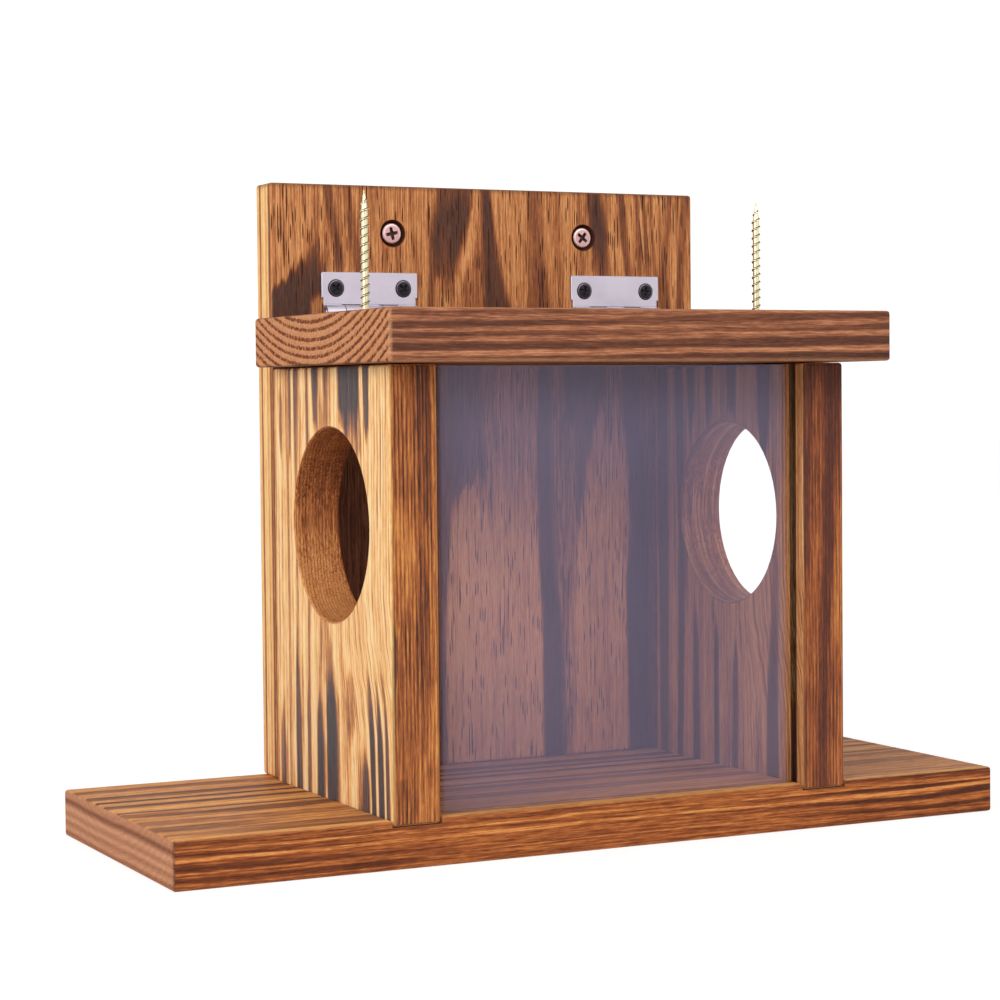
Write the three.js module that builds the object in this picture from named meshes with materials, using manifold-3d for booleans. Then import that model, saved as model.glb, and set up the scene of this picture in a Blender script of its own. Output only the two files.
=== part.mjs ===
// A wooden feeder box that hangs on a tree. Two side panels, each with a round door, stand in
// housings in a base board that runs on past them as perches. A clear pane slides in grooves behind
// their front edges, and the lid hangs on two butt hinges from a tall back board. Two long wood
// screws stand up through the lid as food spikes.
// Millimetres: X to the right, Y to the back, Z up. The origin is under the base board, below the
// box's middle.
import * as THREE from 'three';
import { mergeVertices } from 'three/addons/utils/BufferGeometryUtils.js';
import { RoundedBoxGeometry } from 'three/addons/geometries/RoundedBoxGeometry.js';
import Module from 'manifold-3d';

// Boards
const boxWidth = 171.7;
const leftPerchLength = 73.6;
const rightPerchLength = 63.3;
const baseDepth = 115.8;
const baseThick = 16;
const sideThick = 16.8;
const backThick = 14;
const lidThick = 17;
const chamberHeight = 145.6;
const backRise = 48.1;
const lidLeftOverhang = 8.2;
const lidRightOverhang = 6.4;
const lidFrontOverhang = 19.5;
const lidBackGap = 4.8;
const housingDepth = 2.4;
const housingGap = 0.4;
const housingEase = 0.8;
const footGap = 0.3;
const edgeEase = 1.1;
const easeSteps = 2;
const cornerSteps = 3;

// Round doors in the side panels: the height is from the base's top to the centre
const doorRadius = 32.6;
const doorHeight = 92.2;
const doorDepthShare = 0.49;
const doorEase = 0.5;
const doorSteps = 52;

// Pane and its grooves: the setback is from the side panels' front edges to the groove
const paneThick = 2.4;
const paneSetback = 5;
const sideGrooveDepth = 3.4;
const sillGrooveDepth = 3;
const paneGap = 0.3;
const paneTopGap = 0.8;

// Clearances: between screwed joints, between moving pieces, and the overrun of every cut
const seatGap = 0.1;
const runGap = 0.3;
const overrun = 2;

// Butt hinges: the length is from the pin's axis to the leaf's edge
const hingeWidth = 37.2;
const leafLength = 14.3;
const leafThick = 1;
const leafCorner = 0.6;
const pinRadius = 1.2;
const pinEase = 0.4;
const tabLength = 5.2;
const tabInset = 0.7;
const knuckleCount = 5;
const hingeSteps = 16;
const leftHingeFromSide = 37.4;
const rightHingeFromSide = 34.1;
const hingeScrewSpacing = 26.2;
const hingeScrewReach = 8.6;

// Screws: head, shank, point and cross recess of each kind
const hingeScrewHeadRadius = 2.95;
const hingeScrewHeadDepth = 1.7;
const hingeScrewRadius = 1.25;
const hingeScrewLength = 11;
const hingeScrewProud = 0.2;
const mountScrewHeadRadius = 3.7;
const mountScrewHeadDepth = 2.4;
const mountScrewRadius = 2;
const mountScrewLength = 40;
const mountScrewSunk = 0.6;
const mountSinkMargin = 1.15;
const mountScrewSpacing = 77.7;
const mountScrewFromTop = 17;
const spikeHeadRadius = 3.5;
const spikeHeadDepth = 2.3;
const spikeCoreRadius = 1.15;
const spikeThreadRadius = 1.6;
const spikeThreadPitch = 2.8;
const spikePointLength = 7;
const spikeRise = 41;
const spikeFromLidEnd = 17.15;
const fixingHeadRadius = 3.5;
const fixingHeadDepth = 2.3;
const fixingRadius = 1.75;
const fixingLength = 35;
const fixingSunk = 0.3;
const fixingFromFront = 24;
const fixingFromBack = 28;
const fixingFromBase = 34;
const fixingFromTop = 22;
const backFixingFromSide = 42;
const recessDepth = 1;
const recessWidth = 0.8;
const rimHeight = 0.3;
const hingeScrewSteps = 14;
const mountScrewSteps = 20;
const fixingSteps = 10;
const spikeSteps = 10;

// The cross recess of a head as a share of its diameter, and a point as a share of its screw's length
const recessShare = 0.58;
const pointShare = 0.2;

// Places worked out from the boards
const boxHalf = boxWidth / 2;
const innerHalf = boxHalf - sideThick;
const frontY = -baseDepth / 2;
const rearY = baseDepth / 2;
const backFrontY = rearY - backThick;
const lidUnderZ = baseThick + chamberHeight;
const lidTopZ = lidUnderZ + lidThick;
const backTopZ = lidTopZ + backRise;
const lidLowX = -boxHalf - lidLeftOverhang;
const lidHighX = boxHalf + lidRightOverhang;
const lidLowY = frontY - lidFrontOverhang;
const lidHighY = backFrontY - lidBackGap;
const sideDepth = backFrontY - seatGap - frontY;
const sideLowZ = baseThick - housingDepth + footGap;
const sideHighZ = lidUnderZ - runGap;
const doorY = frontY + sideDepth * doorDepthShare;
const doorZ = baseThick + doorHeight;
const grooveWidth = paneThick + 2 * paneGap;
const grooveY = frontY + paneSetback + grooveWidth / 2;
const grooveHalf = innerHalf + sideGrooveDepth;
const barrelRadius = pinRadius + runGap + leafThick;
const hingeY = backFrontY - seatGap - barrelRadius;
const hingeZ = lidTopZ + seatGap + barrelRadius;
const hingeXs = { left: leftHingeFromSide - boxHalf, right: boxHalf - rightHingeFromSide };

// Each screw points down as it is made, and is turned about X to the way it is driven
const driveDown = 0;
const driveBack = Math.PI / 2;
const driveUp = Math.PI;
const driveForward = -Math.PI / 2;

const wasm = await Module();
wasm.setup();

const materials = {
  base: new THREE.MeshStandardMaterial({ color: 0x9a5f38, roughness: 0.6 }),
  side: new THREE.MeshStandardMaterial({ color: 0xb98445, roughness: 0.6 }),
  back: new THREE.MeshStandardMaterial({ color: 0xa9673a, roughness: 0.6 }),
  lid: new THREE.MeshStandardMaterial({ color: 0x8f5f42, roughness: 0.6 }),
  pane: new THREE.MeshStandardMaterial({
    color: 0xb9b6d6, roughness: 0.08, transparent: true, opacity: 0.35,
  }),
  hinge: new THREE.MeshStandardMaterial({ color: 0xcfcbd8, roughness: 0.35, metalness: 0.9 }),
  blackScrew: new THREE.MeshStandardMaterial({ color: 0x222226, roughness: 0.4, metalness: 0.8 }),
  mountScrew: new THREE.MeshStandardMaterial({ color: 0xd8a9a0, roughness: 0.35, metalness: 0.9 }),
  spike: new THREE.MeshStandardMaterial({ color: 0xd6c178, roughness: 0.35, metalness: 0.9 }),
};

// A geometry's positions as one closed solid, without the triangles that merging has collapsed
function solidOf(geometry) {
  const bare = geometry.clone();
  bare.deleteAttribute('normal');
  bare.deleteAttribute('uv');
  const merged = mergeVertices(bare);
  const corners = merged.index.array;
  const kept = [];
  for (let i = 0; i < corners.length; i += 3) {
    const [a, b, c] = [corners[i], corners[i + 1], corners[i + 2]];
    if (a !== b && b !== c && c !== a) kept.push(a, b, c);
  }
  return new wasm.Manifold(new wasm.Mesh({
    numProp: 3,
    vertProperties: Float32Array.from(merged.attributes.position.array),
    triVerts: Uint32Array.from(kept),
  }));
}

function geometryOf(solid) {
  const mesh = solid.getMesh();
  const geometry = new THREE.BufferGeometry();
  geometry.setAttribute('position', new THREE.BufferAttribute(mesh.vertProperties, 3));
  geometry.setIndex(new THREE.BufferAttribute(mesh.triVerts, 1));
  geometry.computeVertexNormals();
  return geometry;
}

function joined(geometries) {
  return geometryOf(geometries.map(solidOf).reduce((sum, solid) => sum.add(solid)));
}

function cut(geometry, cutters) {
  const whole = solidOf(geometry);
  return geometryOf(cutters.map(solidOf).reduce((rest, solid) => rest.subtract(solid), whole));
}

function meshAt(name, geometry, material, [x, y, z], turn = 0) {
  const mesh = new THREE.Mesh(geometry, material);
  mesh.name = name;
  mesh.position.set(x, y, z);
  mesh.rotation.x = turn;
  return mesh;
}

// A plain block between two corners
function block([lowX, lowY, lowZ], [highX, highY, highZ]) {
  return new THREE.BoxGeometry(highX - lowX, highY - lowY, highZ - lowZ)
    .translate((lowX + highX) / 2, (lowY + highY) / 2, (lowZ + highZ) / 2);
}

// A planed board with eased edges between two corners, with its cuts, placed by its own middle
function boardMesh(name, low, high, material, cutters) {
  const size = high.map((value, i) => value - low[i]);
  const middle = high.map((value, i) => (value + low[i]) / 2);
  const board = new RoundedBoxGeometry(...size, easeSteps, edgeEase).translate(...middle);
  const back = middle.map((value) => -value);
  return meshAt(name, cut(board, cutters).translate(...back), material, middle);
}

// A profile of radius and height turned about Z
function turned(profile, steps) {
  const points = profile.map(([radius, height]) => new THREE.Vector2(radius, height));
  return new THREE.LatheGeometry(points, steps).rotateX(Math.PI / 2);
}

// A countersunk screw with a cross recess, its head's face at zero and its point down
function screwGeometry({ headRadius, headDepth, radius, length, steps }) {
  const point = length * pointShare;
  const body = turned([
    [0, -length], [radius, point - length], [radius, -headDepth],
    [headRadius, -rimHeight], [headRadius, 0], [0, 0],
  ], steps);
  return cut(body, recessCutters(headRadius));
}

function recessCutters(headRadius) {
  const reach = headRadius * recessShare;
  const half = recessWidth / 2;
  return [
    block([-reach, -half, -recessDepth], [reach, half, overrun]),
    block([-half, -reach, -recessDepth], [half, reach, overrun]),
  ];
}

// The hole that such a screw is driven into, a clearance wider all round and open above its head
function screwHole({ headRadius, headDepth, radius, length, sinkMargin, steps }) {
  const wide = headRadius + sinkMargin;
  const narrow = radius + runGap;
  return turned([
    [0, -length - runGap], [narrow, -length - runGap], [narrow, -headDepth - runGap],
    [wide, -rimHeight - runGap], [wide, overrun], [0, overrun],
  ], steps);
}

const hingeScrew = {
  headRadius: hingeScrewHeadRadius,
  headDepth: hingeScrewHeadDepth,
  radius: hingeScrewRadius,
  length: hingeScrewLength,
  sinkMargin: runGap,
  steps: hingeScrewSteps,
  material: materials.blackScrew,
};
const mountScrew = {
  headRadius: mountScrewHeadRadius,
  headDepth: mountScrewHeadDepth,
  radius: mountScrewRadius,
  length: mountScrewLength,
  sinkMargin: mountSinkMargin,
  steps: mountScrewSteps,
  material: materials.mountScrew,
};
const fixingScrew = {
  headRadius: fixingHeadRadius,
  headDepth: fixingHeadDepth,
  radius: fixingRadius,
  length: fixingLength,
  sinkMargin: runGap,
  steps: fixingSteps,
  material: materials.blackScrew,
};

// Where each screw's head lies and which way it is driven
function hingeScrewPlaces(side) {
  const x = hingeXs[side];
  const leafFace = barrelRadius - leafThick - hingeScrewProud;
  return [-1, 1].flatMap((end, i) => [
    {
      name: `hinge_${side}_back_screw_${i + 1}`, kind: hingeScrew, turn: driveBack,
      at: [x + end * hingeScrewSpacing / 2, hingeY + leafFace, hingeZ + hingeScrewReach],
    },
    {
      name: `hinge_${side}_lid_screw_${i + 1}`, kind: hingeScrew, turn: driveDown,
      at: [x + end * hingeScrewSpacing / 2, hingeY - hingeScrewReach, hingeZ - leafFace],
    },
  ]);
}

function mountScrewPlaces() {
  return [['left', -1], ['right', 1]].map(([side, sign]) => ({
    name: `mounting_screw_${side}`, kind: mountScrew, turn: driveBack,
    at: [sign * mountScrewSpacing / 2, backFrontY + mountScrewSunk, backTopZ - mountScrewFromTop],
  }));
}

function fixingScrewPlaces() {
  const sideX = boxHalf - sideThick / 2;
  const backX = boxHalf - backFixingFromSide;
  const backY = rearY - backThick / 2;
  return [['left', -1], ['right', 1]].flatMap(([side, sign]) => [
    {
      name: `back_to_side_${side}_screw_low`, kind: fixingScrew, turn: driveForward,
      at: [sign * sideX, rearY - fixingSunk, baseThick + fixingFromBase],
    },
    {
      name: `back_to_side_${side}_screw_high`, kind: fixingScrew, turn: driveForward,
      at: [sign * sideX, rearY - fixingSunk, sideHighZ - fixingFromTop],
    },
    {
      name: `base_to_side_${side}_screw_front`, kind: fixingScrew, turn: driveUp,
      at: [sign * sideX, frontY + fixingFromFront, fixingSunk],
    },
    {
      name: `base_to_side_${side}_screw_back`, kind: fixingScrew, turn: driveUp,
      at: [sign * sideX, backFrontY - fixingFromBack, fixingSunk],
    },
    {
      name: `base_to_back_${side}_screw`, kind: fixingScrew, turn: driveUp,
      at: [sign * backX, backY, fixingSunk],
    },
  ]);
}

const screwPlaces = [
  ...hingeScrewPlaces('left'), ...hingeScrewPlaces('right'),
  ...mountScrewPlaces(), ...fixingScrewPlaces(),
];

// Every screw's hole where it lies; a board is cut by all of them and meets only its own
function screwHoles() {
  return screwPlaces.map(({ kind, turn, at }) => screwHole(kind).rotateX(turn).translate(...at));
}

function screwMesh({ name, kind, turn, at }) {
  return meshAt(name, screwGeometry(kind), kind.material, at, turn);
}

// One ridge wound round a core from a flat start up to a point, as a closed surface. Each row of
// the grid is the ridge's section, and the next row is one step further round and up, so a row's
// end meets the row a turn later.
const threadSteps = 12;
const ridgeShares = [[0, 0], [0.2, 1], [0.4, 0]];
const leastTaperShare = 0.08;

function threadGeometry(height) {
  const rowSize = ridgeShares.length;
  const rows = Math.round((height / spikeThreadPitch - 1) * threadSteps);
  const positions = [];
  const addPoint = (row, [along, out]) => {
    const angle = (row / threadSteps) * 2 * Math.PI;
    const z = (row / threadSteps + along) * spikeThreadPitch;
    const taper = Math.max(leastTaperShare, Math.min(1, (height - z) / spikePointLength));
    const radius = (spikeCoreRadius + out * (spikeThreadRadius - spikeCoreRadius)) * taper;
    positions.push(radius * Math.cos(angle), radius * Math.sin(angle), z);
  };
  for (let row = 0; row <= rows; row += 1) ridgeShares.forEach((share) => addPoint(row, share));
  for (let row = rows + 1; row <= rows + threadSteps; row += 1) addPoint(row, ridgeShares[0]);
  const pointIndex = (row, place) => {
    if (place === rowSize) return pointIndex(row + threadSteps, 0);
    return row <= rows ? row * rowSize + place : (rows + 1) * rowSize + row - rows - 1;
  };
  const faces = [];
  for (let row = 0; row < rows; row += 1) {
    for (let place = 0; place < rowSize; place += 1) {
      const [a, b] = [pointIndex(row, place), pointIndex(row + 1, place)];
      const [c, d] = [pointIndex(row + 1, place + 1), pointIndex(row, place + 1)];
      faces.push(a, b, c, a, c, d);
    }
  }
  const rim = (first) => {
    const turn = Array.from({ length: threadSteps + 1 }, (_, step) => pointIndex(first + step, 0));
    const section = Array.from({ length: rowSize - 1 }, (_, step) => pointIndex(first, rowSize - 1 - step));
    return [...turn, ...section];
  };
  const closeRim = (loop, z, flip) => {
    const centre = positions.length / 3;
    positions.push(0, 0, z);
    loop.forEach((point, i) => {
      const next = loop[(i + 1) % loop.length];
      faces.push(...(flip ? [centre, next, point] : [centre, point, next]));
    });
  };
  closeRim(rim(0), 0, true);
  closeRim(rim(rows), height, false);
  const geometry = new THREE.BufferGeometry();
  geometry.setAttribute('position', new THREE.Float32BufferAttribute(positions, 3));
  geometry.setIndex(faces);
  return geometry;
}

// A spike is a long screw driven up through the lid. Its thread starts inside the lid, above a plain shank.
function spikeGeometry() {
  const shank = lidThick - overrun;
  const threadHeight = lidThick + spikeRise - shank;
  const body = turned([
    [0, 0], [spikeHeadRadius, 0], [spikeHeadRadius, rimHeight], [spikeCoreRadius, spikeHeadDepth],
    [spikeCoreRadius, shank + spikeThreadPitch / 2], [0, shank + spikeThreadPitch / 2],
  ], spikeSteps);
  const threaded = joined([body, threadGeometry(threadHeight).translate(0, 0, shank)]);
  return cut(threaded, recessCutters(spikeHeadRadius).map((cutter) => cutter.rotateX(driveUp)));
}

function spikeHole() {
  return turned([
    [0, -overrun], [spikeHeadRadius + runGap, -overrun], [spikeHeadRadius + runGap, rimHeight + runGap],
    [spikeThreadRadius + runGap, spikeHeadDepth + runGap],
    [spikeThreadRadius + runGap, lidThick + overrun], [0, lidThick + overrun],
  ], spikeSteps);
}

const spikePlaces = {
  left: [lidLowX + spikeFromLidEnd, (lidLowY + lidHighY) / 2, lidUnderZ],
  right: [lidHighX - spikeFromLidEnd, (lidLowY + lidHighY) / 2, lidUnderZ],
};

// The groove for the pane, in the side panels' inner faces and along the base
function paneGroove(lowZ) {
  return block(
    [-grooveHalf, grooveY - grooveWidth / 2, lowZ],
    [grooveHalf, grooveY + grooveWidth / 2, lidUnderZ + overrun],
  );
}

// A housing for a side panel's foot, open at the front, with its two long edges eased
function housingCutter(sign) {
  const half = sideThick / 2 + housingGap;
  const mouthHalf = half + housingEase;
  const floorZ = baseThick - housingDepth;
  const easeZ = baseThick - housingEase;
  const section = new THREE.Shape();
  section.moveTo(-half, floorZ);
  section.lineTo(half, floorZ);
  section.absarc(mouthHalf, easeZ, housingEase, Math.PI, Math.PI / 2, true);
  section.lineTo(mouthHalf, baseThick + overrun);
  section.lineTo(-mouthHalf, baseThick + overrun);
  section.absarc(-mouthHalf, easeZ, housingEase, Math.PI / 2, 0, true);
  section.closePath();
  const depth = backFrontY - frontY + overrun;
  return new THREE.ExtrudeGeometry(section, { depth, bevelEnabled: false, curveSegments: easeSteps })
    .rotateX(Math.PI / 2).translate(sign * (boxHalf - sideThick / 2), backFrontY, 0);
}

function baseMesh() {
  const housings = [housingCutter(-1), housingCutter(1)];
  const low = [-boxHalf - leftPerchLength, frontY, 0];
  const high = [boxHalf + rightPerchLength, rearY, baseThick];
  const sill = paneGroove(baseThick - sillGrooveDepth);
  return boardMesh('base_board', low, high, materials.base, [...housings, sill, ...screwHoles()]);
}

// A round door through a panel, eased where it meets both faces
function doorCutter(sign) {
  const middleX = sign * (boxHalf - sideThick / 2);
  const half = sideThick / 2;
  return turned([
    [0, -half - overrun], [doorRadius + doorEase + overrun, -half - overrun],
    [doorRadius + doorEase, -half], [doorRadius, doorEase - half], [doorRadius, half - doorEase],
    [doorRadius + doorEase, half], [doorRadius + doorEase + overrun, half + overrun], [0, half + overrun],
  ], doorSteps).rotateY(Math.PI / 2).translate(middleX, doorY, doorZ);
}

function sideMesh(side, sign) {
  const xs = [sign * innerHalf, sign * boxHalf].sort((a, b) => a - b);
  const low = [xs[0], frontY, sideLowZ];
  const high = [xs[1], frontY + sideDepth, sideHighZ];
  const cutters = [doorCutter(sign), paneGroove(0), ...screwHoles()];
  return boardMesh(`side_panel_${side}`, low, high, materials.side, cutters);
}

function backMesh() {
  const low = [-boxHalf, backFrontY, baseThick + seatGap];
  const high = [boxHalf, rearY, backTopZ];
  return boardMesh('back_board', low, high, materials.back, screwHoles());
}

function lidMesh() {
  const low = [lidLowX, lidLowY, lidUnderZ];
  const high = [lidHighX, lidHighY, lidTopZ];
  const holes = Object.values(spikePlaces).map((place) => spikeHole().translate(...place));
  return boardMesh('lid_board', low, high, materials.lid, [...holes, ...screwHoles()]);
}

function paneMesh() {
  const width = 2 * (grooveHalf - paneGap);
  const lowZ = baseThick - sillGrooveDepth + seatGap;
  const highZ = lidUnderZ - paneTopGap;
  const sheet = new THREE.BoxGeometry(width, paneThick, highZ - lowZ);
  return meshAt('window_pane', sheet, materials.pane, [0, grooveY, (lowZ + highZ) / 2]);
}

// Places along the pin of a leaf's own knuckles: every other one, starting from the first or the second
function knuckleSpans(first) {
  const tabWidth = hingeWidth - 2 * tabInset;
  const step = (tabWidth + runGap) / knuckleCount;
  const spans = Array.from({ length: knuckleCount }, (_, i) => {
    const low = i * step - tabWidth / 2;
    return [low, low + step - runGap];
  });
  return spans.filter((_, i) => i % 2 === first);
}

// A strip that leaves the leaf and curls once round the pin
function knuckle([lowX, highX]) {
  const width = highX - lowX;
  const bore = pinRadius + runGap;
  const ring = new THREE.Shape().absarc(0, 0, barrelRadius, 0, 2 * Math.PI);
  ring.holes.push(new THREE.Path().absarc(0, 0, bore, 0, 2 * Math.PI));
  const curl = new THREE.ExtrudeGeometry(ring, {
    depth: width, bevelEnabled: false, curveSegments: hingeSteps,
  }).rotateX(Math.PI / 2).rotateZ(Math.PI / 2).translate(lowX, 0, 0);
  const strip = block([lowX, bore, 0], [highX, barrelRadius, tabLength]);
  return [curl, strip];
}

// A leaf in the hinge's own frame: the pin is along X, the plate rises, and its back faces +Y
function leafGeometry(firstKnuckle) {
  const half = hingeWidth / 2;
  const plate = new THREE.Shape();
  plate.moveTo(-half, tabLength);
  plate.lineTo(half, tabLength);
  plate.lineTo(half, leafLength - leafCorner);
  plate.absarc(half - leafCorner, leafLength - leafCorner, leafCorner, 0, Math.PI / 2);
  plate.absarc(leafCorner - half, leafLength - leafCorner, leafCorner, Math.PI / 2, Math.PI);
  plate.closePath();
  const sheet = new THREE.ExtrudeGeometry(plate, {
    depth: leafThick, bevelEnabled: false, curveSegments: cornerSteps,
  }).rotateX(Math.PI / 2).translate(0, barrelRadius, 0);
  const tabs = block(
    [tabInset - half, barrelRadius - leafThick, barrelRadius + runGap],
    [half - tabInset, barrelRadius, tabLength + overrun],
  );
  const body = joined([sheet, tabs, ...knuckleSpans(firstKnuckle).flatMap(knuckle)]);
  const face = barrelRadius - leafThick - hingeScrewProud;
  const holes = [-1, 1].map((end) => screwHole(hingeScrew).rotateX(driveBack)
    .translate(end * hingeScrewSpacing / 2, face, hingeScrewReach));
  return cut(body, holes);
}

function pinGeometry() {
  const half = hingeWidth / 2 - tabInset;
  return turned([
    [0, -half], [pinRadius - pinEase, -half], [pinRadius, pinEase - half],
    [pinRadius, half - pinEase], [pinRadius - pinEase, half], [0, half],
  ], hingeSteps).rotateY(Math.PI / 2);
}

// The lid leaf is the back leaf's fellow, turned end for end and folded forward on to the lid
function hingeMeshes(side) {
  const place = [hingeXs[side], hingeY, hingeZ];
  const lidLeaf = leafGeometry(1).rotateY(Math.PI);
  return {
    fixed: [
      meshAt(`hinge_${side}_back_leaf`, leafGeometry(0), materials.hinge, place),
      meshAt(`hinge_${side}_pin`, pinGeometry(), materials.hinge, place),
    ],
    moving: [meshAt(`hinge_${side}_lid_leaf`, lidLeaf, materials.hinge, place, -Math.PI / 2)],
  };
}

const hinges = [hingeMeshes('left'), hingeMeshes('right')];
const onLid = ({ name }) => name.includes('_lid_');

const box = new THREE.Group();
box.add(baseMesh(), sideMesh('left', -1), sideMesh('right', 1), backMesh(), paneMesh());
box.add(...hinges.flatMap(({ fixed }) => fixed));
box.add(...screwPlaces.filter((place) => !onLid(place)).map(screwMesh));

const lid = new THREE.Group();
lid.add(lidMesh(), ...hinges.flatMap(({ moving }) => moving));
lid.add(...screwPlaces.filter(onLid).map(screwMesh));
lid.add(...Object.entries(spikePlaces).map(([side, place]) => (
  meshAt(`food_spike_${side}`, spikeGeometry(), materials.spike, place)
)));

const feeder = new THREE.Group();
feeder.add(box, lid);

export default feeder;
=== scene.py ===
# A torched pine feeder box for a tree, dressed around its packed construction. Metres: X to the right seen
# from the front, Y to the tree, Z up. A finish works in millimetres of the object's own space.
import math

import bmesh
import bpy
from mathutils import Matrix, Vector


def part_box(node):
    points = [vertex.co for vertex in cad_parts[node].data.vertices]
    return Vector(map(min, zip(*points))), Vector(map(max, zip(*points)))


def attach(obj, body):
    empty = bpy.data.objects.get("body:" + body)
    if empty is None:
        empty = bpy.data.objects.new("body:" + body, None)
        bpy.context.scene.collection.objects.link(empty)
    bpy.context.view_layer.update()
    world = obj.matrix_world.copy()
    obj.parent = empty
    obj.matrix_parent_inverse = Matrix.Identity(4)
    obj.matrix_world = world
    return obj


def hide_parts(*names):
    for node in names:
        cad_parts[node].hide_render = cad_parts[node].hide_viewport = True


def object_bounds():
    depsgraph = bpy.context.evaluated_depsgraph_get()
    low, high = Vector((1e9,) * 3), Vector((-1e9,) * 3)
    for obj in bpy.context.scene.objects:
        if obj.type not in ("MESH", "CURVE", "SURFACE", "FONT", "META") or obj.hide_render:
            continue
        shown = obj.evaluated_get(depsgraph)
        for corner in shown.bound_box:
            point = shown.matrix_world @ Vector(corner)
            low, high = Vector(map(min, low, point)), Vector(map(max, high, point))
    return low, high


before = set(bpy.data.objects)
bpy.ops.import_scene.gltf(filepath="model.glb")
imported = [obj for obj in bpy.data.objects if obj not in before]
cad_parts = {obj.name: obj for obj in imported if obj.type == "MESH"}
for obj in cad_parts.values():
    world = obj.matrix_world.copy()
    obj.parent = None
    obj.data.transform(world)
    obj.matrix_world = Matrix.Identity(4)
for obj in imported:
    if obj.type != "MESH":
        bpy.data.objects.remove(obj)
cad_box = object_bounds()


# Camera
# It stands low in front of the box and to its left, below the lid's underside, and looks a little down. Its
# lens is given by the focal length in pixels of the square picture.
def placed(name, data):
    """A new object in the scene"""
    made = bpy.data.objects.new(name, data)
    bpy.context.scene.collection.objects.link(made)
    return made


eye = Vector((-0.4042, -0.7820, 0.1501))
yaw, pitch, roll = (math.radians(angle) for angle in (26.256, -2.333, -0.544))
focal_pixels = 2498.5
image_pixels = 1000
ahead = Vector((math.sin(yaw) * math.cos(pitch), math.cos(yaw) * math.cos(pitch), math.sin(pitch)))
level_right = Vector((math.cos(yaw), -math.sin(yaw), 0))
level_up = level_right.cross(ahead)
right = level_right * math.cos(roll) + level_up * math.sin(roll)
up = level_up * math.cos(roll) - level_right * math.sin(roll)
camera_data = bpy.data.cameras.new("camera")
camera_data.lens = focal_pixels / image_pixels * camera_data.sensor_width
camera = placed("camera", camera_data)
camera.matrix_world = Matrix.Translation(eye) @ Matrix((right, up, -ahead)).transposed().to_4x4()
bpy.context.scene.camera = camera


# Base board
# One planed pine board on the flat that runs on past the box as a perch on either side. It is burnt with a
# torch, brushed and oiled, and has a shallow housing for each side panel.
MM = 1000
X, Y, Z = 0, 1, 2


def corners(node):
    """A board's lowest and highest corners in millimetres"""
    low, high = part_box(node)
    return low * MM, high * MM


def tint(red, green, blue):
    """A colour given as it shows on a screen, from 0 to 255, in linear light"""
    shares = [value / 255 for value in (red, green, blue)]
    return (*(s / 12.92 if s <= 0.04045 else ((s + 0.055) / 1.055) ** 2.4 for s in shares), 1)


class Nodes:
    """Short ways to add nodes to one tree"""

    def __init__(self, tree):
        self.tree = tree

    def add(self, kind, *values, **settings):
        """A node of a kind with its settings, its inputs fed in order by sockets or plain values"""
        made = self.tree.nodes.new(kind)
        for setting, value in settings.items():
            setattr(made, setting, value)
        for socket, value in zip(made.inputs, values):
            self.feed(socket, value)
        return made

    def feed(self, socket, value):
        """Links a socket to an input, or sets its plain value"""
        if isinstance(value, bpy.types.NodeSocket):
            self.tree.links.new(value, socket)
        elif value is not None:
            socket.default_value = value

    def number(self, operation, *values):
        return self.add("ShaderNodeMath", *values, operation=operation).outputs[0]

    def times(self, first, second):
        return self.number("MULTIPLY", first, second)

    def vector(self, operation, *values):
        made = self.add("ShaderNodeVectorMath", *values, operation=operation)
        return made.outputs["Value" if operation == "LENGTH" else "Vector"]

    def split(self, vector):
        return self.add("ShaderNodeSeparateXYZ", vector).outputs[:]

    def rising(self, value, start, end, low=0, high=1):
        """A smooth step from low at start to high at end"""
        step = self.add("ShaderNodeMapRange", value, start, end, low, high, interpolation_type="SMOOTHSTEP")
        return step.outputs["Result"]


def streak_group():
    """The sums that lay one streak over a darkness, shared by all the streaks; its path comes as a colour
    that holds the streak's middle, half its width and its own darkness"""
    tree = bpy.data.node_groups.new("torch_streak", "ShaderNodeTree")
    tree.interface.new_socket(name="Path", in_out="INPUT", socket_type="NodeSocketColor")
    for name in ("Dark", "Across", "Low", "Span", "Widest", "Soft"):
        tree.interface.new_socket(name=name, in_out="INPUT", socket_type="NodeSocketFloat")
    tree.interface.new_socket(name="Result", in_out="OUTPUT", socket_type="NodeSocketFloat")
    nodes = Nodes(tree)
    path, dark, across, low, span, widest, soft = nodes.add("NodeGroupInput").outputs[:7]
    middle, half, darkness = nodes.split(path)
    off = nodes.number("SUBTRACT", across, nodes.number("MULTIPLY_ADD", middle, span, low))
    past = nodes.number("SUBTRACT", nodes.number("ABSOLUTE", off), nodes.times(half, widest))
    edge = nodes.rising(past, nodes.times(soft, -1), soft, 1, 0)
    inside = nodes.times(edge, nodes.rising(half, 0, 0.7))
    nodes.add("NodeGroupOutput", nodes.add("ShaderNodeMix", inside, None, dark, darkness).outputs[0])
    return tree


torch_streak = streak_group()


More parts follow.
